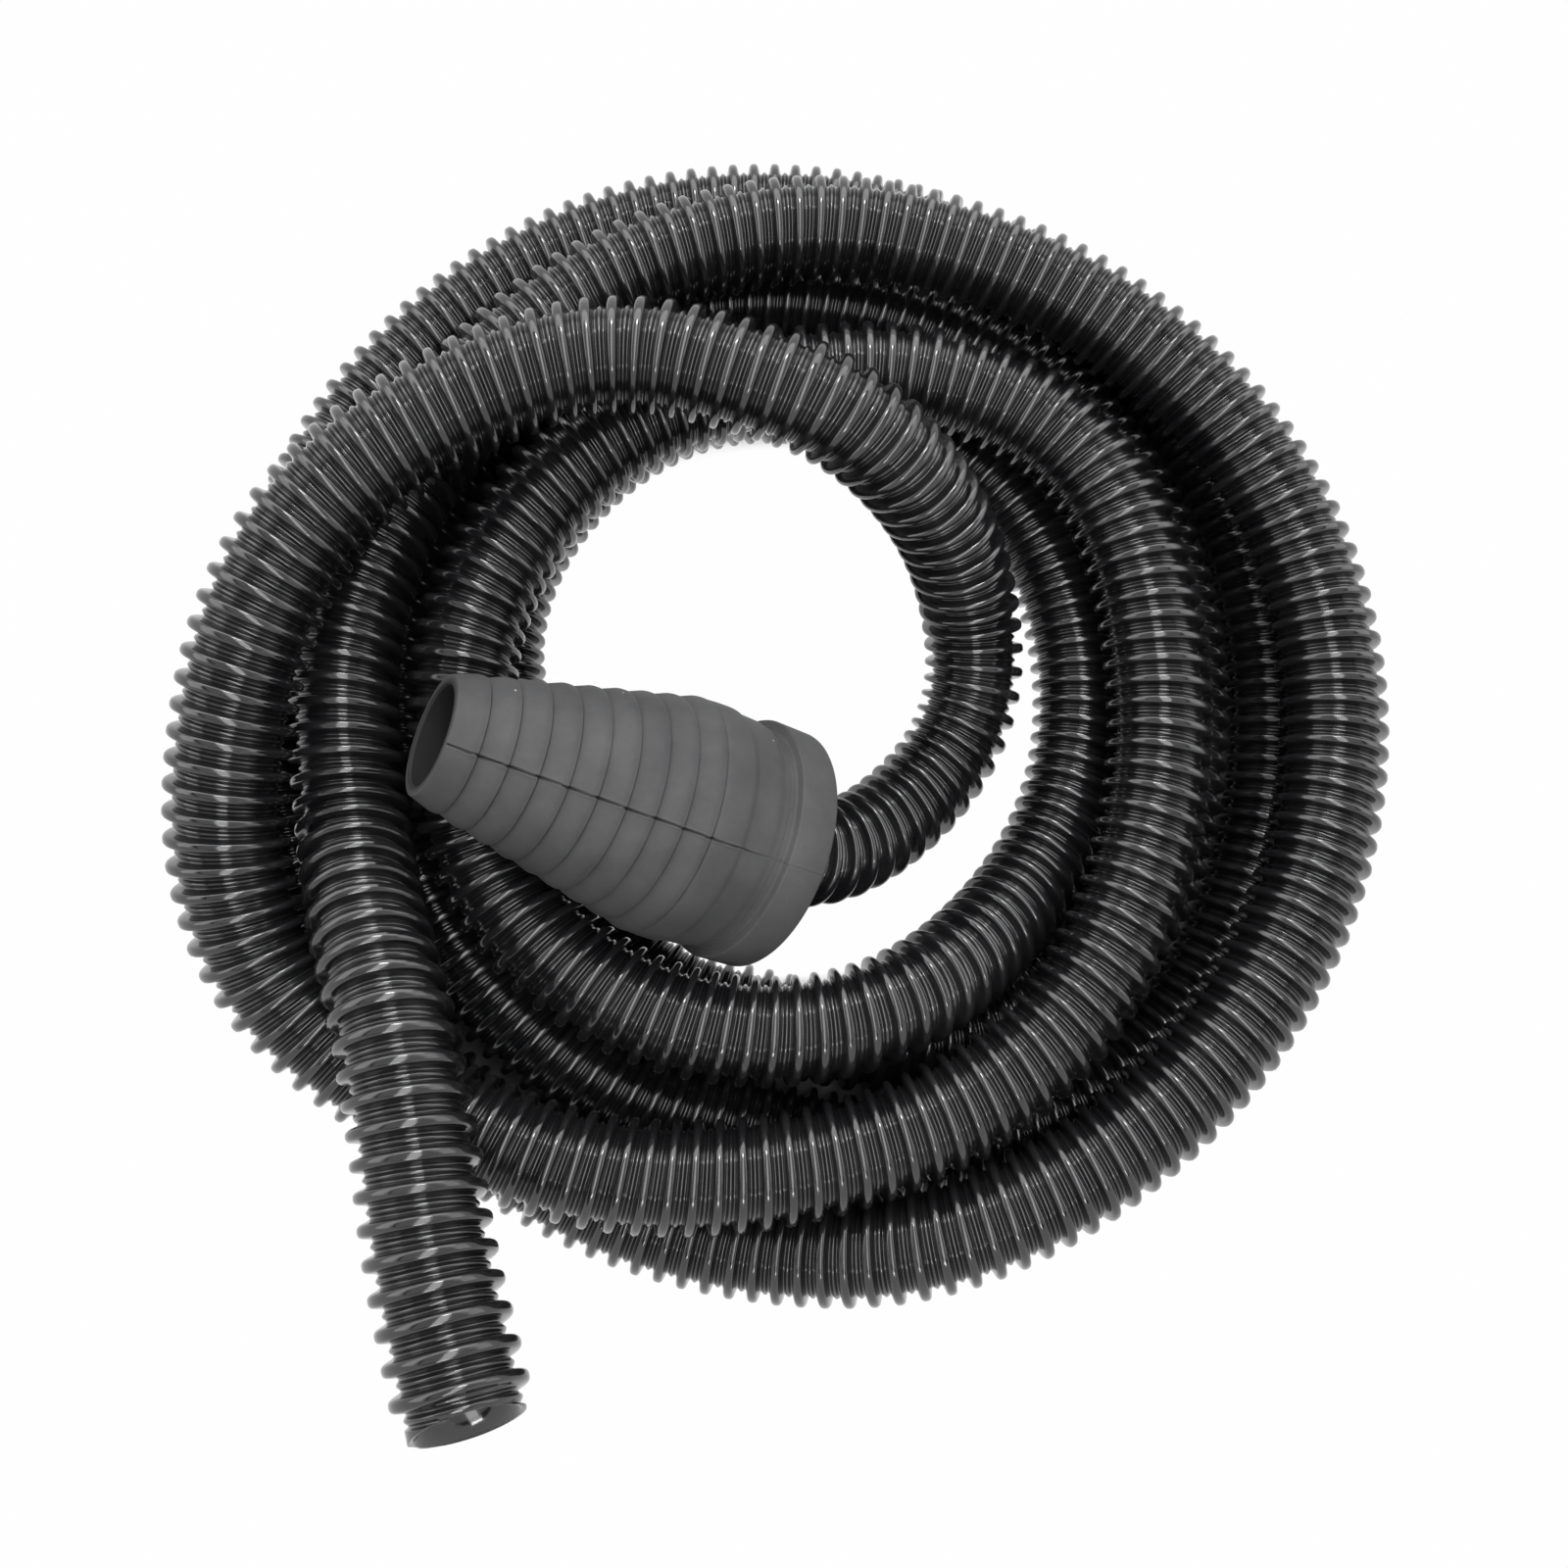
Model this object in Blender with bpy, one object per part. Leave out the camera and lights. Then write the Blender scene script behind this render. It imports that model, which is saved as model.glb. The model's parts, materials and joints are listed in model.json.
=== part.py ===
"""A ribbed vacuum hose, coiled on the floor, with a stepped rubber adapter on its inner end.

The hose is one ribbed tube with its bore.  It leaves the adapter, runs five and a half turns
counter-clockwise and ends plain cut, rising over its own outer turns.  The adapter is one turned
rubber shell: a stepped cone, a shoulder, a groove, a collar and an inner cuff that holds the hose.
Z is up and the floor is Z = 0.  The route is laid out about the coil's centre, and the finished
hose is then set with the middle of its own box over the origin.
"""
import math

import bmesh
import bpy
import numpy as np
from mathutils import Matrix, Vector

MM = 0.001

# ---- hose ---------------------------------------------------------------------------------
HOSE_DIAMETER = 38.0 * MM        # over the ribs
VALLEY_DIAMETER = 30.4 * MM      # between the ribs
BORE_DIAMETER = 26.5 * MM
RIB_PITCH = 34.0 * MM
TUBE_SIDES = 8                   # an even number, outside
BORE_SIDES = 6                   # and in the bore
WELD = 0.001 * MM                # corners of a tube nearer than this are one
ROUTE_STEP = 4.0 * MM            # step of the smooth route that the ribs are spaced along
ROUTE_PASSES = 12                # smoothing passes over the route's points
FLOOR_FLAT = HOSE_DIAMETER / 10  # depth of the flat that the lowest turns are cut to

# The centre line's stations, one row a turn: angle in degrees, radius and height in mm.
TURNS = (
    ((0, 70.5, 20), (22, 74.3, 29), (45, 77, 54), (67, 78, 80), (90, 86, 93), (104, 95, 94),
     (122, 116.5, 94), (150, 146.5, 94), (165, 165.5, 93), (180, 180.5, 88), (190, 190, 80.5),
     (200, 201, 71), (210, 206.5, 62), (225, 198.5, 56), (247, 186, 54), (270, 171, 54),
     (292, 161, 54), (304, 155.5, 54), (315, 149, 54), (337, 137.5, 54)),
    ((0, 132, 54), (45, 135, 54), (67, 124, 54), (90, 112, 54), (120, 111.5, 54),
     (150, 113.5, 54), (180, 119.5, 54), (190, 120.8, 52.5), (200, 125.4, 47.5), (210, 129, 47.2),
     (220, 130.3, 49.9), (232, 131, 52), (245, 130.6, 53), (258, 128.5, 53.8),
     (270, 126, 54), (281, 123.3, 52.7),
     (292, 120.3, 47.8), (304, 117.5, 37), (315, 116.5, 26), (337, 116, 17)),
    ((0, 116, 15.2), (45, 122, 15.2), (90, 124.5, 15.2), (105, 125.5, 15.2), (120, 124, 15.2),
     (135, 122, 15.2), (160, 119, 15.2), (180, 113.5, 15.2), (190, 107.7, 15.2),
     (200, 104.8, 15.2), (210, 106, 15.2), (220, 112, 15.2), (232, 118, 15.2),
     (247, 122.5, 15.2), (270, 126.5, 15.2), (281, 134.8, 15.2), (292, 143.6, 15.2),
     (304, 151, 15.2), (315, 156, 15.2)),
    ((0, 157, 15.2), (45, 165, 15.2), (90, 164, 15.2), (105, 164.3, 15.2), (120, 163, 15.2),
     (135, 161, 15.2), (160, 159.5, 15.2), (180, 157.5, 15.2), (225, 158.5, 15.2),
     (247, 162, 15.2), (270, 166.5, 15.2), (281, 175.8, 15.2), (292, 183.6, 15.2),
     (304, 190.5, 15.2), (315, 195, 15.2)),
    ((0, 196.5, 15.2), (45, 204.5, 15.2), (90, 203.2, 15.2), (105, 203, 15.2),
     (120, 201.8, 15.2), (135, 199.8, 15.2), (160, 198.3, 15.2), (180, 197, 15.2),
     (225, 198, 15.2), (247, 201, 16), (259, 202.5, 22), (270, 203.5, 31), (281, 203.5, 44),
     (292, 201.3, 51), (304, 199.5, 53.5), (315, 199.3, 54)),
    ((0, 198.5, 54), (22, 194.5, 54), (45, 186, 54), (67, 178, 54), (90, 172, 54), (112, 164, 54),
     (135, 158, 54), (157, 158, 54), (180, 160, 54), (190, 160.5, 54.5)),
)
TURN_DEGREES = 360.0
TURN_STEP = 6.0                  # degrees between the points worked out along a turn
# The free stretches in mm: from the adapter to the first turn, and the rising loose end.
LEAD_IN = ((2, -65, 38), (20, -60, 28), (36, -50, 20.5), (51.5, -36, 16.5), (65, -17, 16))
LOOSE_END = ((-153.5, -55.6, 56.5), (-143, -89.5, 74.5), (-131.5, -117, 88), (-121.3, -152, 97),
             (-112, -191, 106))
LOOSE_TIP = (-98, -232, 118)

# ---- adapter ------------------------------------------------------------------------------
ADAPTER_LENGTH = 124.8 * MM
SMALL_DIAMETER = 40.0 * MM
CONE_DIAMETER = 83.0 * MM        # at the last step
STEP_FIRST = 9.6 * MM            # from the small end to the first step
STEP_PITCH = 9.05 * MM
STEP_COUNT = 9
STEP_DEPTH = 0.9 * MM
STEP_ROUND = 2.4 * MM            # length of the rounded end of each step
# Corners of a step: along it in STEP_ROUNDs from its end, and out of the plain cone in STEP_DEPTHs.
STEP_SHAPE = ((-1.0, 0.6), (-0.35, 0.6), (0.0, -0.4))
SHOULDER_CROWN = 0.6 * MM        # how far the shoulder swells past the last step
CROWN_PLACE = 0.35               # share of the shoulder's length at which it is widest
COLLAR_DIAMETER = 87.0 * MM
COLLAR_WIDTH = 14.5 * MM
COLLAR_ROUND = 1.2 * MM
COLLAR_CORNERS = 3               # points of the collar's rounded edge
GROOVE_DIAMETER = 80.0 * MM
GROOVE_WIDTH = 7.5 * MM
# Corners of the groove: along it in GROOVE_WIDTHs, and down in shares of its depth.
GROOVE_SHAPE = ((0.0, 0.0), (0.35, 0.7), (0.7, 1.0), (1.0, 1.0))
WALL = 3.5 * MM
FIT_GAP = 0.3 * MM               # between the hose's ribs and the cuff, and at its stop
CUFF_START = 67.3 * MM           # from the small end to the web that stops the hose
CUFF_LENGTH = 38.0 * MM
ADAPTER_SIDES = 48
SMALL_END = (-119.4, -33.1, 103.6)  # centre of the small end, mm
LARGE_END = (-2.1, -64.8, 40)    # a point on the axis at the large end, mm

SHARP_DEGREES = 35.0             # edges sharper than this aren't shaded smooth
HOSE_COLOUR = (0.012, 0.012, 0.013, 1.0)
HOSE_ROUGHNESS = 0.28
RUBBER_COLOUR = (0.065, 0.065, 0.067, 1.0)
RUBBER_ROUGHNESS = 0.62


def clear_scene():
    for item in list(bpy.data.objects):
        bpy.data.objects.remove(item, do_unlink=True)


def material(name, colour, roughness):
    made = bpy.data.materials.new(name)
    made.use_nodes = True
    shader = made.node_tree.nodes["Principled BSDF"]
    shader.inputs["Base Color"].default_value = colour
    shader.inputs["Roughness"].default_value = roughness
    shader.inputs["Metallic"].default_value = 0.0
    return made


def smooth_values(keys, values, at):
    """Cubic curve through values at rising keys, read at the positions at."""
    keys = np.asarray(keys, float)
    values = np.asarray(values, float)
    spans = np.diff(keys)[:, None]
    rises = np.diff(values, axis=0) / spans
    middle = (rises[:-1] * spans[1:] + rises[1:] * spans[:-1]) / (spans[1:] + spans[:-1])
    slopes = np.vstack([rises[:1], middle, rises[-1:]])
    at = np.asarray(at, float)
    index = np.clip(np.searchsorted(keys, at, side="right") - 1, 0, len(keys) - 2)
    span = spans[index]
    t = ((at - keys[index])[:, None]) / span
    start = (2 * t**3 - 3 * t**2 + 1) * values[index] + (t**3 - 2 * t**2 + t) * span * slopes[index]
    end = (3 * t**2 - 2 * t**3) * values[index + 1] + (t**3 - t**2) * span * slopes[index + 1]
    return start + end


def lengths_along(points):
    steps = np.linalg.norm(np.diff(points, axis=0), axis=1)
    return np.concatenate([[0.0], np.cumsum(steps)])


def resample(points, step):
    """Points at even steps, as near to step as the length allows, along a polyline."""
    along = lengths_along(points)
    count = max(1, round(along[-1] / step))
    places = np.linspace(0.0, along[-1], count + 1)
    return np.column_stack([np.interp(places, along, points[:, axis]) for axis in range(3)])


def coil_points():
    """The turns' centre line, from the stations' angle, radius and height."""
    stations = [(turn * TURN_DEGREES + angle, radius, height)
                for turn, row in enumerate(TURNS) for angle, radius, height in row]
    angles = [station[0] for station in stations]
    shape = [station[1:] for station in stations]
    read = np.arange(angles[0], angles[-1], TURN_STEP)
    radius, height = (smooth_values(angles, shape, read) * MM).T
    height = np.maximum(height, HOSE_DIAMETER / 2 - FLOOR_FLAT)
    turned = np.radians(read)
    return np.column_stack([radius * np.cos(turned), radius * np.sin(turned), height])


def adapter_axis():
    small_end = Vector(SMALL_END) * MM
    return small_end, (Vector(LARGE_END) * MM - small_end).normalized()


def hose_route():
    """Smooth centre line of the whole hose, from the cuff's stop to the loose end."""
    small_end, direction = adapter_axis()
    seat = small_end + direction * (CUFF_START + WALL + FIT_GAP)
    straight = [seat + direction * HOSE_DIAMETER * share for share in (0.0, 0.5, 1.0)]
    lead_in = [Vector(point) * MM for point in LEAD_IN]
    loose_end = [Vector(point) * MM for point in LOOSE_END]
    tip = Vector(LOOSE_TIP) * MM
    last = (tip - loose_end[-1]).normalized() * HOSE_DIAMETER
    tail = [tip - last, tip - last / 2, tip]
    free = [straight + lead_in, loose_end + tail]
    knots = np.vstack([np.array(free[0]), coil_points(), np.array(free[1])])
    along = lengths_along(knots)
    dense = smooth_values(along, knots, np.arange(0.0, along[-1], ROUTE_STEP / 4))
    route = resample(np.vstack([dense, knots[-1:]]), ROUTE_STEP)
    held = round(HOSE_DIAMETER / ROUTE_STEP)
    for _ in range(ROUTE_PASSES):
        middle = (route[held - 1:-held - 1] + 2 * route[held:-held] + route[held + 1:-held + 1])
        route[held:-held] = middle / 4
    return route


def least_gap(route):
    """Least gap between the hose's own turns, over the ribs, measured on points of the route."""
    along = lengths_along(route)
    apart = np.linalg.norm(route[:, None] - route[None], axis=2)
    other_turn = np.abs(along[:, None] - along[None]) > 2 * HOSE_DIAMETER
    return apart[other_turn].min() - HOSE_DIAMETER


def tube(name, points, radii, sides):
    """Closed tube mesh through points, from a curve with a bevel and filled caps."""
    curve = bpy.data.curves.new(name, "CURVE")
    curve.dimensions = "3D"
    curve.twist_mode = "Z_UP"
    curve.bevel_depth = 1.0
    curve.bevel_resolution = sides // 2 - 2
    curve.use_fill_caps = True
    spline = curve.splines.new("POLY")
    spline.points.add(len(points) - 1)
    half_side = math.pi / sides
    for place, point, radius in zip(spline.points, points, radii):
        place.co = (*point, 1.0)
        place.radius = radius
        place.tilt = half_side
    holder = bpy.data.objects.new(name, curve)
    bpy.context.collection.objects.link(holder)
    bpy.context.view_layer.update()
    mesh = bpy.data.meshes.new_from_object(holder)
    bpy.data.objects.remove(holder)
    bpy.data.curves.remove(curve)
    shape = bmesh.new()
    shape.from_mesh(mesh)
    bmesh.ops.remove_doubles(shape, verts=shape.verts, dist=WELD)
    bmesh.ops.recalc_face_normals(shape, faces=shape.faces)
    shape.to_mesh(mesh)
    shape.free()
    return mesh


def box(name, low, high):
    shape = bmesh.new()
    bmesh.ops.create_cube(shape, size=1.0)
    size = Vector(high) - Vector(low)
    middle = (Vector(high) + Vector(low)) / 2
    bmesh.ops.scale(shape, vec=size, verts=shape.verts)
    bmesh.ops.translate(shape, vec=middle, verts=shape.verts)
    mesh = bpy.data.meshes.new(name)
    shape.to_mesh(mesh)
    shape.free()
    return mesh


def place(name, mesh, carrier, surface=None):
    item = bpy.data.objects.new(name, mesh)
    bpy.context.collection.objects.link(item)
    item.parent = carrier
    if surface:
        mesh.materials.append(surface)
        mesh.shade_smooth()
        mesh.set_sharp_from_angle(angle=math.radians(SHARP_DEGREES))
    else:
        item.hide_render = True
        item.display_type = "WIRE"
    return item


def cut(item, cutter):
    modifier = item.modifiers.new("cut by " + cutter.name, "BOOLEAN")
    modifier.operation = "DIFFERENCE"
    modifier.solver = "EXACT"
    modifier.object = cutter


def make_hose(carrier):
    route = hose_route()
    gap = least_gap(route)
    length = lengths_along(route)[-1]
    print(f"hose: {length:.3f} m long, least gap to itself {gap / MM:.2f} mm")
    halves = 2 * round(length / RIB_PITCH) + 1
    rings = resample(route, length / halves)
    valley = VALLEY_DIAMETER / 2
    crest = HOSE_DIAMETER / 2
    radii = [crest if index % 2 else valley for index in range(len(rings))]
    hose = place("hose", tube("hose", rings, radii, TUBE_SIDES), carrier,
                 material("hose_plastic", HOSE_COLOUR, HOSE_ROUGHNESS))
    ends = [rings[0] - (rings[1] - rings[0]), rings[-1] + (rings[-1] - rings[-2])]
    valleys = np.vstack([ends[:1], rings[0::2], ends[1:]])
    bore = tube("hose_bore", valleys, [BORE_DIAMETER / 2] * len(valleys), BORE_SIDES)
    cut(hose, place("hose_bore", bore, carrier))
    reach = np.abs(rings).max() + HOSE_DIAMETER
    floor = box("below_floor", (-reach, -reach, -HOSE_DIAMETER), (reach, reach, 0.0))
    cut(hose, place("below_floor", floor, carrier))
    return hose


def arc(centre, radii, start, end, count):
    """Points of an elliptical arc, angles in degrees from the axis direction."""
    angles = np.radians(np.linspace(start, end, count))
    return [(centre[0] + radii[0] * math.cos(angle), centre[1] + radii[1] * math.sin(angle))
            for angle in angles]


def stepped_cone():
    """Outer outline of the cone: each ring widens to a rounded end, then steps in."""
    small = SMALL_DIAMETER / 2
    last_step = STEP_FIRST + (STEP_COUNT - 1) * STEP_PITCH
    slope = (CONE_DIAMETER / 2 - small) / last_step
    points = [(0.0, small)]
    for index in range(STEP_COUNT):
        for along, out in STEP_SHAPE:
            place_along = STEP_FIRST + index * STEP_PITCH + along * STEP_ROUND
            points.append((place_along, small + slope * place_along + out * STEP_DEPTH))
    return points, last_step


def adapter_outline():
    """Closed outline of the adapter, as distances along and from its axis."""
    outer, last_step = stepped_cone()
    collar_start = ADAPTER_LENGTH - COLLAR_WIDTH
    shoulder_end = collar_start - GROOVE_WIDTH
    cone = CONE_DIAMETER / 2
    groove = GROOVE_DIAMETER / 2
    collar = COLLAR_DIAMETER / 2
    outer.append((last_step + (shoulder_end - last_step) * CROWN_PLACE, cone + SHOULDER_CROWN))
    outer += [(shoulder_end + along * GROOVE_WIDTH, cone - down * (cone - groove))
              for along, down in GROOVE_SHAPE]
    outer.append((collar_start, collar))
    outer += arc((ADAPTER_LENGTH - COLLAR_ROUND, collar - COLLAR_ROUND),
                 (COLLAR_ROUND, COLLAR_ROUND), 90, 0, COLLAR_CORNERS)
    bell = groove - WALL
    cuff_bore = HOSE_DIAMETER / 2 + FIT_GAP
    cuff_end = CUFF_START + WALL + CUFF_LENGTH
    slope = (cone - SMALL_DIAMETER / 2) / last_step

    def inside(along):
        return SMALL_DIAMETER / 2 + slope * along - WALL

    web_back = CUFF_START + WALL
    inner = [(ADAPTER_LENGTH, bell), (shoulder_end, bell), (web_back, inside(web_back)),
             (web_back, cuff_bore + WALL), (cuff_end, cuff_bore + WALL),
             (cuff_end, cuff_bore), (web_back, cuff_bore), (web_back, BORE_DIAMETER / 2),
             (CUFF_START, BORE_DIAMETER / 2), (CUFF_START, inside(CUFF_START)),
             (0.0, SMALL_DIAMETER / 2 - WALL)]
    return outer + inner


def turned(name, outline, sides):
    """Solid of revolution about local X from a closed outline."""
    shape = bmesh.new()
    corners = [shape.verts.new((along, 0.0, radius)) for along, radius in outline]
    edges = [shape.edges.new((corners[index - 1], corners[index]))
             for index in range(len(corners))]
    bmesh.ops.spin(shape, geom=corners + edges, cent=(0, 0, 0), axis=(1, 0, 0),
                   angle=math.tau, steps=sides, use_merge=True)
    bmesh.ops.recalc_face_normals(shape, faces=shape.faces)
    mesh = bpy.data.meshes.new(name)
    shape.to_mesh(mesh)
    shape.free()
    return mesh


def make_adapter(carrier):
    small_end, direction = adapter_axis()
    adapter = place("cone_adapter", turned("cone_adapter", adapter_outline(), ADAPTER_SIDES),
                    carrier, material("adapter_rubber", RUBBER_COLOUR, RUBBER_ROUGHNESS))
    across = Vector((0, 0, 1)).cross(direction).normalized()
    upright = direction.cross(across)
    turn = Matrix((direction, across, upright)).transposed()
    adapter.matrix_local = Matrix.Translation(small_end) @ turn.to_4x4()


def centre_over_origin(carrier, item):
    """Move the carrier so that the middle of the item's finished box is over the origin."""
    finished = item.evaluated_get(bpy.context.evaluated_depsgraph_get())
    corners = np.array(finished.bound_box)
    middle = (corners.min(axis=0) + corners.max(axis=0)) / 2
    carrier.location = (-middle[0], -middle[1], 0.0)


clear_scene()
coil = bpy.data.objects.new("coil", None)
bpy.context.collection.objects.link(coil)
whole_hose = make_hose(coil)
make_adapter(coil)
centre_over_origin(coil, whole_hose)
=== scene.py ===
"""Looks of a coiled suction hose with a stepped rubber adapter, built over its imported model.

The hose is one tube of glossy black plastic: a left-handed helical rib stands on a thinner film,
and the film swells to a low ridge between two turns of the rib.  The adapter is one shell of matt
grey rubber with a mould seam along both sides.  Lengths are in metres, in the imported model's
frame: Z is up and the floor is Z = 0.
"""
import json
import math

import bmesh
import bpy
import numpy as np
from mathutils import Matrix, Vector


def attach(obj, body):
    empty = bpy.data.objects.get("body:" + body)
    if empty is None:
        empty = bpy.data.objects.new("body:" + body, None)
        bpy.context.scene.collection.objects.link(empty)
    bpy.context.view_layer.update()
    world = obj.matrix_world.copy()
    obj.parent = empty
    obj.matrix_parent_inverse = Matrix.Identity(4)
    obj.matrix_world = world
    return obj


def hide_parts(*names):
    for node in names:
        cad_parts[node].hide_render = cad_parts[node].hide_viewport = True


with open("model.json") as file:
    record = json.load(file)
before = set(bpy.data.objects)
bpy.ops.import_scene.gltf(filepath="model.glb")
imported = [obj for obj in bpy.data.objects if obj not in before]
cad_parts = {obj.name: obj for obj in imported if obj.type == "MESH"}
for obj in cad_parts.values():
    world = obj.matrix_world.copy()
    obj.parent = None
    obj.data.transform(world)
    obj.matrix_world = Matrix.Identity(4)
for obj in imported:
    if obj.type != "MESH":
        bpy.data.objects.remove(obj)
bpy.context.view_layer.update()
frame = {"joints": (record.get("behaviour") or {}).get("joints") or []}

MM = 0.001

# ---- camera ---------------------------------------------------------------------------------
CAMERA_PLACE = (-43, -101, 482.2)      # mm, from the coil's centre on the floor
CAMERA_LEAN = (4.9, 8.1)               # degrees, to the left and towards the front
IMAGE_SIZE = 1600                      # pixels
FOCAL_PIXELS = 1250
SENSOR = 36.0                          # mm

# ---- hose -----------------------------------------------------------------------------------
HOSE_DIAMETER = 38.0 * MM
FLOOR_FLAT = HOSE_DIAMETER / 10
RIB_PITCH = 8.0 * MM
END_PITCH = 9.2 * MM                   # where the loose end is stretched
END_STRETCH = 420.0 * MM               # length of that stretch
END_SLANT = 7.0 * MM                   # the cut end's lower wall reaches this much further
LIP_TURNS = 0.6                        # past the last rib the bare film stands out as a lip
LIP_FALL = 4                           # the rib sinks to the film over one part in this many
LIP_RADIUS = 16.2 * MM
LIP_WALL = 1.7 * MM
HOSE_SIDES = 40
ROUTE_STEP = 4.0 * MM
ROUTE_PASSES = 12                      # rounds of smoothing between the straight ends
TURN_DEGREES = 360.0
TURN_STEP = 6.0                        # degrees between the points read off the turns
# One pitch of the wall, as shares of the pitch and radii in mm: the rib, its foot, the film.
RIB_OUTLINE = ((0.0, 19.0), (0.05, 18.97), (0.10, 18.88), (0.15, 18.62), (0.19, 18.15),
               (0.22, 17.45), (0.245, 16.6), (0.27, 15.8), (0.30, 15.2), (0.335, 15.0),
               (0.37, 15.15), (0.41, 15.5), (0.455, 15.82), (0.50, 15.95), (0.545, 15.82),
               (0.59, 15.5), (0.63, 15.15), (0.665, 15.0), (0.70, 15.2), (0.73, 15.8),
               (0.755, 16.6), (0.78, 17.45), (0.81, 18.15), (0.85, 18.62), (0.90, 18.88),
               (0.95, 18.97))
BORE_RADIUS = 14.2 * MM
BORE_WAVE = 0.5 * MM                   # how far the bore follows the rib outwards
BORE_STEP = 0.25                       # turns of the rib between two rings of the bore
BORE_FLOOR = 1.0 * MM                  # wall left under the bore where the hose is cut flat

# The centre line's stations, one row a turn: angle in degrees, radius and height in mm.
TURNS = (
    ((0, 70.5, 20), (22, 74.3, 29), (45, 77, 54), (67, 78, 80), (90, 86, 93), (104, 95, 94),
     (122, 116.5, 94), (150, 146.5, 94), (165, 165.5, 93), (180, 180.5, 88), (190, 190, 80.5),
     (200, 201, 71), (210, 206.5, 62), (225, 198.5, 56), (247, 186, 54), (270, 171, 54),
     (292, 161, 54), (304, 155.5, 54), (315, 149, 54), (337, 137.5, 54)),
    ((0, 132, 54), (45, 135, 54), (67, 124, 54), (90, 112, 54), (120, 111.5, 54),
     (150, 113.5, 54), (180, 119.5, 54), (190, 120.8, 52.5), (200, 125.4, 47.5), (210, 129, 47.2),
     (220, 130.3, 49.9), (232, 131, 52), (245, 130.6, 53), (258, 128.5, 53.8),
     (270, 126, 54), (281, 123.3, 52.7),
     (292, 120.3, 47.8), (304, 117.5, 37), (315, 116.5, 26), (337, 116, 17)),
    ((0, 116, 15.2), (45, 122, 15.2), (90, 124.5, 15.2), (105, 125.5, 15.2), (120, 124, 15.2),
     (135, 122, 15.2), (160, 119, 15.2), (180, 113.5, 15.2), (190, 107.7, 15.2),
     (200, 104.8, 15.2), (210, 106, 15.2), (220, 112, 15.2), (232, 118, 15.2),
     (247, 122.5, 15.2), (270, 126.5, 15.2), (281, 134.8, 15.2), (292, 143.6, 15.2),
     (304, 151, 15.2), (315, 156, 15.2)),
    ((0, 157, 15.2), (45, 165, 15.2), (90, 164, 15.2), (105, 164.3, 15.2), (120, 163, 15.2),
     (135, 161, 15.2), (160, 159.5, 15.2), (180, 157.5, 15.2), (225, 158.5, 15.2),
     (247, 162, 15.2), (270, 166.5, 15.2), (281, 175.8, 15.2), (292, 183.6, 15.2),
     (304, 190.5, 15.2), (315, 195, 15.2)),
    ((0, 196.5, 15.2), (45, 204.5, 15.2), (90, 203.2, 15.2), (105, 203, 15.2),
     (120, 201.8, 15.2), (135, 199.8, 15.2), (160, 198.3, 15.2), (180, 197, 15.2),
     (225, 198, 15.2), (247, 201, 16), (259, 202.5, 22), (270, 203.5, 31), (281, 203.5, 44),
     (292, 201.3, 51), (304, 199.5, 53.5), (315, 199.3, 54)),
    ((0, 198.5, 54), (22, 194.5, 54), (45, 186, 54), (67, 178, 54), (90, 172, 54), (112, 164, 54),
     (135, 158, 54), (157, 158, 54), (180, 160, 54), (190, 160.5, 54.5)),
)
# The free stretches in mm: from the adapter to the first turn, and the rising loose end.
LEAD_IN = ((2, -65, 38), (20, -60, 28), (36, -50, 20.5), (51.5, -36, 16.5), (65, -17, 16))
LOOSE_END = ((-153.5, -55.6, 56.5), (-143, -89.5, 74.5), (-131.5, -117, 88), (-121.3, -152, 97),
             (-112, -191, 106))
LOOSE_TIP = (-98, -232, 118)

# ---- adapter --------------------------------------------------------------------------------
ADAPTER_LENGTH = 124.8 * MM
SMALL_DIAMETER = 40.0 * MM
CONE_DIAMETER = 83.0 * MM              # at the last step
STEP_FIRST = 9.6 * MM
STEP_PITCH = 9.05 * MM
STEP_COUNT = 9
STEP_DEPTH = 0.9 * MM
STEP_ROUND = 2.4 * MM
STEP_SWELL = 0.6                       # share of the depth that stands over the cone
STEP_SINK = 0.4                        # share of it that lies under the cone
STEP_BEND = 1.35                       # radians of the curve over a step's shoulder
NOTCH_DEPTH = 0.5 * MM                 # fine line at the foot of each step
NOTCH_WIDTH = 0.5 * MM
NOTCH_SINK = 0.6                       # share of the notch's depth under the step's foot
# From the last step to the collar, in mm: a wide last ring, a soft step down, a fine line.
SHOULDER = ((82.6, 41.45), (84, 41.7), (87, 41.95), (91, 42.1), (92.2, 42.05), (93, 41.8),
            (93.8, 41.4), (95, 41.2), (99, 41.15), (102.5, 41.05), (104, 40.75), (105, 40.35),
            (106, 40.15), (106.9, 40.1), (107.1, 39.75), (107.5, 39.75), (107.7, 40.1),
            (109.4, 40.1), (110, 40.2), (110.3, 40.6))
COLLAR_START = 110.3 * MM
COLLAR_DIAMETER = 87.0 * MM
COLLAR_ROUND = 1.2 * MM
GROOVE_DIAMETER = 80.0 * MM
BELL_DEPTH = 8.0 * MM                  # how far the straight bell reaches before the collar
WALL = 3.5 * MM
FIT_GAP = 0.3 * MM
CUFF_START = 67.3 * MM
CUFF_LENGTH = 38.0 * MM
SMALL_END = (-119.4, -33.1, 103.6)
LARGE_END = (-2.1, -64.8, 40)
ADAPTER_SIDES = 144
SHARP_DEGREES = 50
SEAM_ANGLE = -10.5                     # degrees round the axis, from straight up
SEAM_REACH = 2.4                       # degrees to each side of the seam with fine columns
SEAM_STEP = 0.2                        # degrees between those columns
SEAM_CLEAR = 3.0                       # degrees to each side kept free of even columns
SEAM_WIDTH = 0.7 * MM                  # the parting line's fine groove
SEAM_DEPTH = 0.4 * MM
SEAM_LIP = 0.15 * MM                   # height of the flash left beside it
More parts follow.
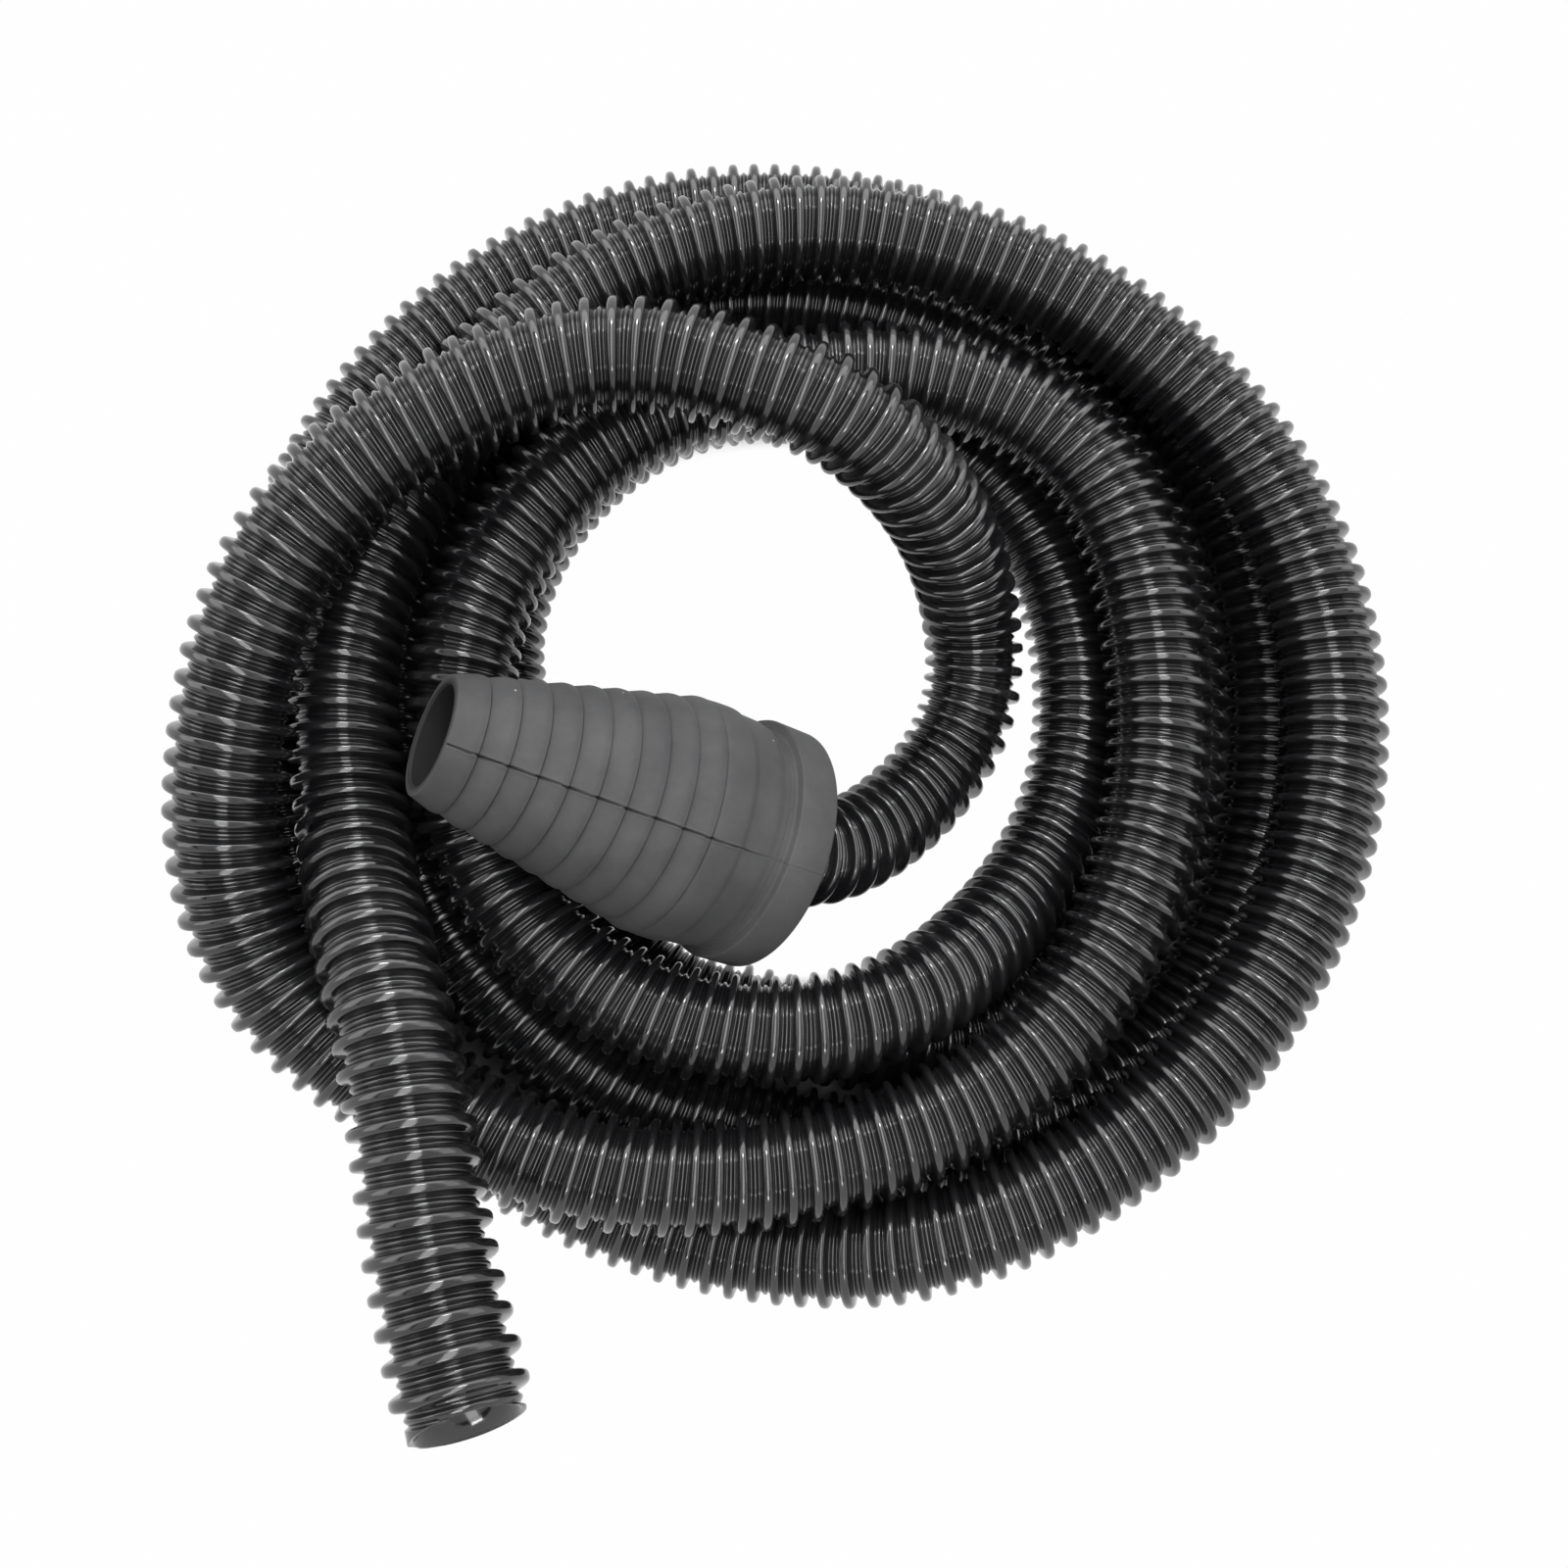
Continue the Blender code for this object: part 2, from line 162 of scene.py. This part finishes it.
SEAM_FADES = (92.0, 104.0)             # mm from the small end, where the line grows faint
SEAM_FAINT = 0.25                      # what is left of it there
SEAM_BLOB = 1.2 * MM                   # reach of the wider spot where it crosses a step
SEAM_BLOB_WIDTH = 1.3                  # how much wider it is there
SEAM_ENDS = 0.4 * MM                   # the rims stay whole
INNER_SHADE = 0.8                       # painted shade: how much darker the inside of the shell is painted
# painted shade: how much darker the fine line at the foot of each step is painted
NOTCH_SHADE = 0.6

# ---- studio ---------------------------------------------------------------------------------
STUDIO_RADIUS = 2.2                    # m, also the height of its round wall
STUDIO_DROP = 0.2 * MM                 # the floor lies this much under the hose
WORLD_STRENGTH = 0.05
WHITE_SHARE = 0.99                     # the rest of the floor's look is its own shaded grey
# painted shadow: ambient occlusion within this reach takes the white off the floor under and
# between the turns
SHADOW_REACH = 90.0 * MM
SHADOW_SHARES = (0.1, 0.26)           # open share of the sky: painted shadow (the floor's dark grey) below, white above
INNER_FLOOR = 108.0 * MM               # radius of the bare floor inside the coil
INNER_EDGE = 6.0 * MM
# Soft boxes: name, place and size in metres, power in watts, and the place it faces.
SOFT_BOXES = (
    ("ceiling_panel", (0.0, 0.05, 1.03), (1.7, 1.5), 6, (0.0, 0.05, 0.0)),
    ("ceiling_strip", (0.0, -0.09, 1.0), (0.36, 1.66), 7, (0.0, -0.09, 0.0)),
    ("back_lamp", (0.0, 0.83, 0.98), (0.32, 0.14), 4, (0.0, 0.0, 0.0)),
    ("front_lamp", (0.0, -1.0, 0.98), (0.32, 0.12), 2, (0.0, 0.0, 0.0)),
    ("back_box", (0.0, 1.4, 0.85), (2.4, 0.8), 13, (0.0, 0.0, 0.0)),
    ("left_box", (-1.35, 0.4, 0.75), (1.6, 0.8), 6.5, (0.0, 0.0, 0.0)),
    ("right_box", (1.35, 0.4, 0.75), (1.6, 0.8), 5, (0.0, 0.0, 0.0)),
)

# The small end's centre is the twist joint's place, which sets the route in the frame.
COIL_SHIFT = Vector(frame["joints"][0]["pos_m"]) - Vector(SMALL_END) * MM


def smooth_values(keys, values, at):
    """Cubic curve through values at rising keys, read at the positions at."""
    keys = np.asarray(keys, float)
    values = np.asarray(values, float)
    spans = np.diff(keys)[:, None]
    rises = np.diff(values, axis=0) / spans
    middle = (rises[:-1] * spans[1:] + rises[1:] * spans[:-1]) / (spans[1:] + spans[:-1])
    slopes = np.vstack([rises[:1], middle, rises[-1:]])
    at = np.asarray(at, float)
    index = np.clip(np.searchsorted(keys, at, side="right") - 1, 0, len(keys) - 2)
    span = spans[index]
    t = ((at - keys[index])[:, None]) / span
    start = (2 * t**3 - 3 * t**2 + 1) * values[index] + (t**3 - 2 * t**2 + t) * span * slopes[index]
    end = (3 * t**2 - 2 * t**3) * values[index + 1] + (t**3 - t**2) * span * slopes[index + 1]
    return start + end


def lengths_along(points):
    steps = np.linalg.norm(np.diff(points, axis=0), axis=1)
    return np.concatenate([[0.0], np.cumsum(steps)])


def read_along(along, values, places):
    """Columns of values, known at along, read at places."""
    return np.column_stack([np.interp(places, along, column) for column in values.T])


def resample(points, step):
    along = lengths_along(points)
    count = max(1, round(along[-1] / step))
    return read_along(along, points, np.linspace(0.0, along[-1], count + 1))


def coil_points():
    """The turns' centre line, from the stations' angle, radius and height."""
    stations = [(turn * TURN_DEGREES + angle, radius, height)
                for turn, row in enumerate(TURNS) for angle, radius, height in row]
    angles = [station[0] for station in stations]
    shape = [station[1:] for station in stations]
    read = np.arange(angles[0], angles[-1], TURN_STEP)
    radius, height = (smooth_values(angles, shape, read) * MM).T
    height = np.maximum(height, HOSE_DIAMETER / 2 - FLOOR_FLAT)
    turned = np.radians(read)
    return np.column_stack([radius * np.cos(turned), radius * np.sin(turned), height])


def adapter_axis():
    small_end = Vector(SMALL_END) * MM
    return small_end, (Vector(LARGE_END) * MM - small_end).normalized()


def hose_route():
    """Smooth centre line of the whole hose, from the cuff's stop to the loose end."""
    small_end, direction = adapter_axis()
    seat = small_end + direction * (CUFF_START + WALL + FIT_GAP)
    straight = [seat + direction * HOSE_DIAMETER * share for share in (0.0, 0.5, 1.0)]
    lead_in = [Vector(point) * MM for point in LEAD_IN]
    loose_end = [Vector(point) * MM for point in LOOSE_END]
    tip = Vector(LOOSE_TIP) * MM
    last = (tip - loose_end[-1]).normalized() * HOSE_DIAMETER
    tail = [tip - last, tip - last / 2, tip]
    knots = np.vstack([np.array(straight + lead_in), coil_points(), np.array(loose_end + tail)])
    along = lengths_along(knots)
    dense = smooth_values(along, knots, np.arange(0.0, along[-1], ROUTE_STEP / 4))
    route = resample(np.vstack([dense, knots[-1:]]), ROUTE_STEP)
    held = round(HOSE_DIAMETER / ROUTE_STEP)
    for _ in range(ROUTE_PASSES):
        middle = (route[held - 1:-held - 1] + 2 * route[held:-held] + route[held + 1:-held + 1])
        route[held:-held] = middle / 4
    return route + np.array(COIL_SHIFT)


def route_frames(route):
    """Direction, sideways and upright unit vectors at each point of the route."""
    direction = np.gradient(route, axis=0)
    direction /= np.linalg.norm(direction, axis=1)[:, None]
    sideways = np.cross(direction, (0.0, 0.0, 1.0))
    sideways /= np.linalg.norm(sideways, axis=1)[:, None]
    return direction, sideways, np.cross(sideways, direction)


def rib_turns(along):
    """Turns of the rib up to each place: the pitch grows over the stretched loose end."""
    share = np.clip((along - (along[-1] - END_STRETCH)) / END_STRETCH, 0.0, 1.0)
    pitch = RIB_PITCH + (END_PITCH - RIB_PITCH) * share * share * (3 - 2 * share)
    middle = (1 / pitch[1:] + 1 / pitch[:-1]) / 2
    return np.concatenate([[0.0], np.cumsum(np.diff(along) * middle)])


def rib_radius(turn):
    """Outer radius at a phase of the rib, in turns."""
    shares = [share for share, _ in RIB_OUTLINE] + [1.0]
    radii = [radius * MM for _, radius in RIB_OUTLINE] + [RIB_OUTLINE[0][1] * MM]
    return np.interp(turn % 1.0, shares, radii)


def hose_mesh(route):
    """Closed helical shell.  Each line of the outer grid keeps to one phase of the rib."""
    along = lengths_along(route)
    turns = rib_turns(along)
    direction, sideways, upright = route_frames(route)
    angles = np.arange(HOSE_SIDES) / HOSE_SIDES

    def surface(places, radii):
        """Points at distances along the route, one for each angle in the last dimension."""
        flat = places.ravel()
        centre = read_along(along, route, flat)
        side = read_along(along, sideways, flat)
        up = read_along(along, upright, flat)
        turned = np.broadcast_to(angles * math.tau, places.shape).ravel()
        # sideways x upright points back along the route, so this angle is right-handed about it
        reach = side * np.cos(turned)[:, None] - up * np.sin(turned)[:, None]
        points = centre + reach * radii.ravel()[:, None]
        points[:, 2] = np.maximum(points[:, 2], 0.0)
        return points

    phases = np.array([share for share, _ in RIB_OUTLINE])
    whole = np.arange(0, math.ceil(turns[-1]) + 1)
    lines = (whole[:, None] + phases[None]).ravel()
    upper = (1 - np.sin(math.tau * angles)) / 2
    last_turn = turns[-1] - upper * END_SLANT / END_PITCH
    # left-handed: a line of equal phase falls back along the route as the angle grows
    wanted = lines[:, None] - angles[None]
    reached = np.clip(wanted, 0.0, last_turn[None])
    places = np.interp(reached, turns, along)
    radii = rib_radius(reached + angles[None])
    in_lip = np.clip(LIP_FALL * ((reached - last_turn[None]) / LIP_TURNS + 1), 0.0, 1.0)
    radii += (np.minimum(radii, LIP_RADIUS) - radii) * in_lip
    outer = surface(places, radii)

    rows = len(lines)
    number = np.arange(rows * HOSE_SIDES).reshape(rows, HOSE_SIDES)
    before = wanted <= 0.0
    after = wanted >= last_turn[None]
    last_before = before.sum(axis=0) - 1
    first_after = rows - after.sum(axis=0)
    column = np.arange(HOSE_SIDES)
    start_ring = number[last_before, column]
    end_ring = number[first_after, column]
    number = np.where(before, start_ring[None], number)
    number = np.where(after, end_ring[None], number)
    # one whole turn further round is the line one pitch before
    pitch_lines = len(phases)
    wrapped = np.full(rows, -1)
    wrapped[pitch_lines:] = number[:-pitch_lines, 0]
    wrapped[:pitch_lines] = start_ring[0]
    grid = np.column_stack([number, wrapped])
    quads = np.stack([grid[:-1, :-1], grid[1:, :-1], grid[1:, 1:], grid[:-1, 1:]], axis=-1)
    faces = [quads.reshape(-1, 4)]

    bore_lines = np.arange(0.0, turns[-1] - END_SLANT / END_PITCH, BORE_STEP)
    bore_turns = np.repeat(bore_lines[:, None], HOSE_SIDES, axis=1)
    bore_turns = np.vstack([bore_turns, last_turn[None]])
    bore_places = np.interp(bore_turns, turns, along)
    bore_radii = BORE_RADIUS + BORE_WAVE * np.cos(math.tau * (bore_turns + angles[None]))
    in_lip = np.clip((bore_turns - last_turn[None]) / (2 * LIP_TURNS) + 1, 0.0, 1.0)
    bore_radii += (LIP_RADIUS - LIP_WALL - bore_radii) * in_lip * in_lip
    bore = surface(bore_places, bore_radii)
    bore[:, 2] = np.maximum(bore[:, 2], BORE_FLOOR)
    bore_number = (len(outer) + np.arange(len(bore))).reshape(-1, HOSE_SIDES)
    bore_grid = np.column_stack([bore_number, bore_number[:, 0]])
    faces.append(np.stack([bore_grid[:-1, :-1], bore_grid[:-1, 1:], bore_grid[1:, 1:],
                           bore_grid[1:, :-1]], axis=-1).reshape(-1, 4))
    ends = ((start_ring, bore_number[0]), (end_ring[::-1], bore_number[-1][::-1]))
    for ring, bore_ring in ends:
        ring_next = np.roll(ring, -1)
        bore_next = np.roll(bore_ring, -1)
        faces.append(np.stack([ring, ring_next, bore_next, bore_ring], axis=-1))
    return np.vstack([outer, bore]), np.vstack(faces)


def mesh_from(name, points, faces):
    """Mesh from points and four-cornered faces, some of them collapsed to fewer corners."""
    kept = []
    for face in faces.tolist():
        corners = [corner for index, corner in enumerate(face) if corner != face[index - 1]]
        if len(set(corners)) > 2:
            kept.append(corners)
    mesh = bpy.data.meshes.new(name)
    mesh.from_pydata(points, [], kept)
    shape = bmesh.new()
    shape.from_mesh(mesh)
    loose = [corner for corner in shape.verts if not corner.link_faces]
    bmesh.ops.delete(shape, geom=loose, context="VERTS")
    bmesh.ops.recalc_face_normals(shape, faces=shape.faces)
    shape.to_mesh(mesh)
    shape.free()
    mesh.shade_smooth()
    return mesh


def place(name, mesh, surface):
    item = bpy.data.objects.new(name, mesh)
    bpy.context.scene.collection.objects.link(item)
    mesh.materials.append(surface)
    return item


def make_camera():
    lean_left, lean_front = (math.tan(math.radians(lean)) for lean in CAMERA_LEAN)
    back = Vector((-lean_left, -lean_front, 1.0)).normalized()
    right = Vector((0, 1, 0)).cross(back).normalized()
    upwards = back.cross(right)
    camera = bpy.data.objects.new("camera", bpy.data.cameras.new("camera"))
    bpy.context.scene.collection.objects.link(camera)
    turn = Matrix((right, upwards, back)).transposed()
    stand = Vector(CAMERA_PLACE) * MM + COIL_SHIFT
    camera.matrix_world = Matrix.Translation(stand) @ turn.to_4x4()
    camera.data.sensor_width = SENSOR
    camera.data.lens = SENSOR * FOCAL_PIXELS / IMAGE_SIZE
    camera.data.clip_start = 0.01
    bpy.context.scene.camera = camera


def new_material(name):
    made = bpy.data.materials.new(name)
    made.use_nodes = True
    return made, made.node_tree.nodes, made.node_tree.links


def noise(nodes, links, vector, scale, detail):
    made = nodes.new("ShaderNodeTexNoise")
    made.inputs["Scale"].default_value = scale
    made.inputs["Detail"].default_value = detail
    links.new(vector, made.inputs["Vector"])
    return made


def ramp(nodes, links, value, stops):
    """Colour between two stops, each a position and a colour."""
    made = nodes.new("ShaderNodeValToRGB")
    for element, (position, colour) in zip(made.color_ramp.elements, stops):
        element.position = position
        element.color = (*colour, 1.0)
    links.new(value, made.inputs["Fac"])
    return made.outputs["Color"]


def map_range(nodes, links, value, from_range, to_range):
    made = nodes.new("ShaderNodeMapRange")
    made.inputs["From Min"].default_value, made.inputs["From Max"].default_value = from_range
    made.inputs["To Min"].default_value, made.inputs["To Max"].default_value = to_range
    links.new(value, made.inputs["Value"])
    return made


def math_value(nodes, links, operation, first, second):
    made = nodes.new("ShaderNodeMath")
    made.operation = operation
    links.new(first, made.inputs[0])
    links.new(second, made.inputs[1])
    return made.outputs["Value"]


def tinted(nodes, links, factor, colour, tint):
    """A colour with a fixed tint laid over it by a factor."""
    made = nodes.new("ShaderNodeMix")
    made.data_type = "RGBA"
    made.inputs["B"].default_value = (*tint, 1.0)
    links.new(factor, made.inputs["Factor"])
    links.new(colour, made.inputs["A"])
    return made.outputs["Result"]


def fine_grain(nodes, links, vector, scale, detail, strength, depth):
    """Bumps of a fine noise on the material's shader."""
    grain = noise(nodes, links, vector, scale, detail)
    bump = nodes.new("ShaderNodeBump")
    bump.inputs["Strength"].default_value = strength
    bump.inputs["Distance"].default_value = depth
    links.new(grain.outputs["Fac"], bump.inputs["Height"])
    links.new(bump.outputs["Normal"], nodes["Principled BSDF"].inputs["Normal"])


def hose_plastic():
    """Glossy black, with hazy patches that are a little paler and duller."""
    made, nodes, links = new_material("hose_plastic")
    shader = nodes["Principled BSDF"]
    shader.inputs["Metallic"].default_value = 0.0
    shader.inputs["IOR"].default_value = 1.68
    spot = nodes.new("ShaderNodeTexCoord").outputs["Object"]
    haze = noise(nodes, links, spot, 60.0, 6.0).outputs["Fac"]
    tone = ramp(nodes, links, haze, ((0.35, (0.008, 0.008, 0.009)), (0.75, (0.016, 0.016, 0.017))))
    links.new(tone, shader.inputs["Base Color"])
    rough = map_range(nodes, links, haze, (0.3, 0.75), (0.1, 0.2))
    links.new(rough.outputs["Result"], shader.inputs["Roughness"])
    fine_grain(nodes, links, spot, 900.0, 3.0, 0.12, 0.1 * MM)
    return made


def adapter_rubber():
    """Matt dark grey, cloudy, with painted shade in its lines and inside the shell, and a few pale
    specks of dust.
    """
    made, nodes, links = new_material("adapter_rubber")
    shader = nodes["Principled BSDF"]
    shader.inputs["Metallic"].default_value = 0.0
    shader.inputs["Roughness"].default_value = 0.6
    shader.inputs["Specular IOR Level"].default_value = 0.15
    spot = nodes.new("ShaderNodeTexCoord").outputs["Object"]
    clouds = noise(nodes, links, spot, 45.0, 8.0)
    clouds.inputs["Roughness"].default_value = 0.65
    tone = ramp(nodes, links, clouds.outputs["Fac"],
                ((0.3, (0.064, 0.064, 0.066)), (0.75, (0.1, 0.1, 0.102))))
    # painted shade: the mesh's attribute darkens the seam's groove, the notches and the inside of
    # the shell
    painted_shade = nodes.new("ShaderNodeAttribute")
    painted_shade.attribute_name = "painted_shade"
    shaded_tone = tinted(nodes, links, painted_shade.outputs["Fac"], tone, (0.01, 0.01, 0.01))
    specks = nodes.new("ShaderNodeTexVoronoi")
    specks.inputs["Scale"].default_value = 70.0
    links.new(spot, specks.inputs["Vector"])
    near = nodes.new("ShaderNodeMath")
    near.operation = "LESS_THAN"
    near.inputs[1].default_value = 0.028
    links.new(specks.outputs["Distance"], near.inputs[0])
    dust_on_shade = tinted(nodes, links, near.outputs["Value"], shaded_tone, (0.45, 0.45, 0.44))
    links.new(dust_on_shade, shader.inputs["Base Color"])
    fine_grain(nodes, links, spot, 2200.0, 4.0, 0.35, 0.15 * MM)
    return made


def backdrop_white():
    """White that the camera and reflections see at strength 1, with some of the shadow kept; where
    ambient occlusion finds the hose near, the white gives way to the floor's dark grey as a painted
    shadow.
    """
    made, nodes, links = new_material("backdrop_white")
    shader = nodes["Principled BSDF"]
    shader.inputs["Base Color"].default_value = (0.1, 0.1, 0.1, 1.0)
    shader.inputs["Roughness"].default_value = 0.9
    rays = nodes.new("ShaderNodeLightPath").outputs
    seen = math_value(nodes, links, "MAXIMUM", rays["Is Camera Ray"], rays["Is Glossy Ray"])
    seen = math_value(nodes, links, "MAXIMUM", seen, rays["Is Transmission Ray"])
    shadow_occlusion = nodes.new("ShaderNodeAmbientOcclusion")
    shadow_occlusion.samples = 16
    shadow_occlusion.inputs["Distance"].default_value = SHADOW_REACH
    # painted shadow: the white fades out where the hose crowds the floor
    free = map_range(nodes, links, shadow_occlusion.outputs["AO"], SHADOW_SHARES, (0.0, WHITE_SHARE))
    free.interpolation_type = "SMOOTHSTEP"
    # inside the coil the floor keeps its white, without the painted shadow, however near the turns
    # stand
    spot = nodes.new("ShaderNodeNewGeometry").outputs["Position"]
    from_middle = nodes.new("ShaderNodeVectorMath")
    from_middle.operation = "DISTANCE"
    from_middle.inputs[1].default_value = COIL_SHIFT
    links.new(spot, from_middle.inputs[0])
    inside = map_range(nodes, links, from_middle.outputs["Value"],
                       (INNER_FLOOR + INNER_EDGE, INNER_FLOOR), (0.0, WHITE_SHARE))
    kept_white = math_value(nodes, links, "MAXIMUM", free.outputs["Result"], inside.outputs["Result"])
    share = math_value(nodes, links, "MULTIPLY", seen, kept_white)
    white = nodes.new("ShaderNodeEmission")
    white.inputs["Strength"].default_value = 1.0
    mix = nodes.new("ShaderNodeMixShader")
    links.new(share, mix.inputs["Fac"])
    links.new(shader.outputs["BSDF"], mix.inputs[1])
    links.new(white.outputs["Emission"], mix.inputs[2])
    links.new(mix.outputs["Shader"], nodes["Material Output"].inputs["Surface"])
    return made


def step_places():
    """Distances of the steps' feet from the small end."""
    return [STEP_FIRST + index * STEP_PITCH for index in range(STEP_COUNT)]


def adapter_outline():
    """Closed outline of the adapter, as distances along and from its axis."""
    small = SMALL_DIAMETER / 2
    slope = (CONE_DIAMETER / 2 - small) / step_places()[-1]
    outer = [(0.0, small - 0.5 * MM), (0.15 * MM, small - 0.15 * MM), (0.5 * MM, small)]
    for along in step_places():
        wide = small + slope * along
        foot = wide - STEP_DEPTH * STEP_SINK
        for share in (0.0, 0.25, 0.5, 0.75, 1.0):
            start = along - STEP_ROUND * (1 - share)
            swell = STEP_DEPTH * STEP_SWELL * math.cos(share * STEP_BEND)
            radius = wide - slope * STEP_ROUND * (1 - share) + swell
            outer.append((start - NOTCH_WIDTH / 2, radius))
        outer.append((along - NOTCH_WIDTH / 4, foot - NOTCH_DEPTH * NOTCH_SINK))
        outer.append((along + NOTCH_WIDTH / 4, foot - NOTCH_DEPTH * NOTCH_SINK))
        outer.append((along + NOTCH_WIDTH / 2, foot))
    outer += [(along * MM, radius * MM) for along, radius in SHOULDER]
    collar = COLLAR_DIAMETER / 2
    outer += [(COLLAR_START, collar - 0.6 * MM), (COLLAR_START + 0.2 * MM, collar - 0.2 * MM),
              (COLLAR_START + 0.7 * MM, collar)]
    for degrees in (90, 65, 40, 20, 0):
        turned = math.radians(degrees)
        outer.append((ADAPTER_LENGTH - COLLAR_ROUND + COLLAR_ROUND * math.cos(turned),
                      collar - COLLAR_ROUND + COLLAR_ROUND * math.sin(turned)))
    bell = GROOVE_DIAMETER / 2 - WALL
    bell_start = COLLAR_START - BELL_DEPTH
    cuff_bore = HOSE_DIAMETER / 2 + FIT_GAP
    web_back = CUFF_START + WALL
    cuff_end = web_back + CUFF_LENGTH

    def inside(along):
        return small + slope * along - WALL

    inner = [(ADAPTER_LENGTH, bell + 0.6 * MM), (ADAPTER_LENGTH - 0.6 * MM, bell),
             (bell_start, bell), (web_back, inside(web_back)), (web_back, cuff_bore + WALL),
             (cuff_end, cuff_bore + WALL), (cuff_end, cuff_bore), (web_back, cuff_bore),
             (web_back, BORE_RADIUS), (CUFF_START, BORE_RADIUS), (CUFF_START, inside(CUFF_START)),
             (0.6 * MM, small - WALL), (0.0, small - WALL + 0.5 * MM)]
    return outer + inner, len(outer)


def seam_shape(along, distance):
    """Lift of the parting line, and the painted shade of its groove, at a signed distance from its
    middle.
    """
    place = along / MM
    # two waves of fractions of a millimetre wander off the line, two more break it up
    wander = (0.12 * math.sin(place * 1.7) + 0.08 * math.sin(place * 4.3)) * MM
    off = distance - wander
    broken = 0.65 + 0.45 * math.sin(place * 2.1) * math.sin(place * 0.83 + 1.0)
    faint = np.interp(place, SEAM_FADES, (1.0, SEAM_FAINT))
    blob = max(0.0, 1 - from_step(along) / SEAM_BLOB)
    half_width = SEAM_WIDTH / 2 * (1 + SEAM_BLOB_WIDTH * blob)
    # painted shade: the groove's share also darkens the colour along the parting line
    groove = max(0.0, 1 - (off / half_width) ** 2) * min(1.0, broken + blob) * faint
    lip = sum(max(0.0, 1 - ((off - side * SEAM_WIDTH) / (SEAM_WIDTH * 0.6)) ** 2)
              for side in (-1, 1))
    return SEAM_LIP * lip * faint - SEAM_DEPTH * groove, groove


def from_step(along):
    """Distance to the nearest step's foot."""
    return min(abs(along - step) for step in step_places())


def notch_shade(along):
    """Painted shade in the fine line at the foot of each step."""
    return NOTCH_SHADE if from_step(along) < NOTCH_WIDTH * 0.4 else 0.0


def adapter_mesh():
    """Turned shell about local X, with a fine parting line along two opposite sides."""
    outline, outer_count = adapter_outline()
    seams = (SEAM_ANGLE, SEAM_ANGLE + 180.0)
    even = list(np.arange(ADAPTER_SIDES) * (360.0 / ADAPTER_SIDES))
    offsets = np.arange(-SEAM_REACH, SEAM_REACH + SEAM_STEP / 2, SEAM_STEP)
    fine = [seam + offset for seam in seams for offset in offsets]

    def from_seam(degrees):
        return min(((degrees - seam + 180) % 360 - 180 for seam in seams), key=abs)

    far = [angle for angle in even if abs(from_seam(angle)) > SEAM_CLEAR]
    angles = sorted({round(float(angle) % 360.0, 3) for angle in fine + far})
    points = []
    # painted shade for the colour: the inside of the shell, the seam's groove and the notches
    painted_shade = []
    for degrees in angles:
        turned = math.radians(degrees)
        for index, (along, radius) in enumerate(outline):
            lift, dark = 0.0, 0.0
            # painted shade: the inside of the shell is darkened
            if index >= outer_count:
                dark = INNER_SHADE
            elif SEAM_ENDS < along < ADAPTER_LENGTH - SEAM_ENDS:
                lift, dark = seam_shape(along, math.radians(from_seam(degrees)) * radius)
                dark = max(dark, notch_shade(along))
            reach = radius + lift
            points.append((along, reach * math.sin(turned), reach * math.cos(turned)))
            painted_shade.append(dark)
    count = len(outline)
    faces = []
    for column in range(len(angles)):
        beside = (column + 1) % len(angles)
        for row in range(count):
            below = (row + 1) % count
            faces.append((column * count + row, column * count + below,
                          beside * count + below, beside * count + row))
    mesh = bpy.data.meshes.new("rubber_adapter")
    mesh.from_pydata(points, [], faces)
    mesh.attributes.new("painted_shade", "FLOAT", "POINT").data.foreach_set("value", painted_shade)
    shape = bmesh.new()
    shape.from_mesh(mesh)
    bmesh.ops.recalc_face_normals(shape, faces=shape.faces)
    shape.to_mesh(mesh)
    shape.free()
    mesh.shade_smooth()
    mesh.set_sharp_from_angle(angle=math.radians(SHARP_DEGREES))
    return mesh


def make_hose():
    route = hose_route()
    points, faces = hose_mesh(route)
    hose = place("ribbed_hose", mesh_from("ribbed_hose", points, faces), hose_plastic())
    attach(hose, "hose")
    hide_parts("hose")


def make_adapter():
    small_end, direction = adapter_axis()
    across = Vector((0, 0, 1)).cross(direction).normalized()
    upright = direction.cross(across)
    turn = Matrix((direction, across, upright)).transposed()
    mesh = adapter_mesh()
    mesh.transform(Matrix.Translation(small_end + COIL_SHIFT) @ turn.to_4x4())
    adapter = place("rubber_adapter", mesh, adapter_rubber())
    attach(adapter, "adapter")
    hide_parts("cone_adapter")


def soft_box(name, place_at, size, power, towards):
    light = bpy.data.lights.new(name, "AREA")
    light.shape = "RECTANGLE"
    light.size, light.size_y = size
    light.energy = power
    item = bpy.data.objects.new(name, light)
    bpy.context.scene.collection.objects.link(item)
    item.location = place_at
    aim = Vector(towards) - Vector(place_at)
    item.rotation_euler = aim.to_track_quat("-Z", "Y").to_euler()


def make_studio():
    """White floor and round wall, a strip between two lamps overhead, and soft boxes around."""
    shape = bmesh.new()
    bmesh.ops.create_circle(shape, cap_ends=True, radius=STUDIO_RADIUS, segments=96)
    edges = [edge for edge in shape.edges if edge.is_boundary]
    lifted = bmesh.ops.extrude_edge_only(shape, edges=edges)["geom"]
    top = [item for item in lifted if isinstance(item, bmesh.types.BMVert)]
    bmesh.ops.translate(shape, vec=(0, 0, STUDIO_RADIUS), verts=top)
    mesh = bpy.data.meshes.new("studio")
    shape.to_mesh(mesh)
    shape.free()
    studio = place("studio", mesh, backdrop_white())
    studio.location.z = -STUDIO_DROP

    world = bpy.data.worlds.new("studio_world")
    bpy.context.scene.world = world
    world.use_nodes = True
    background = world.node_tree.nodes["Background"]
    background.inputs["Color"].default_value = (1, 1, 1, 1)
    background.inputs["Strength"].default_value = WORLD_STRENGTH
    for box in SOFT_BOXES:
        soft_box(*box)


make_camera()
make_hose()
make_adapter()
make_studio()
bpy.context.scene.view_settings.view_transform = "Standard"
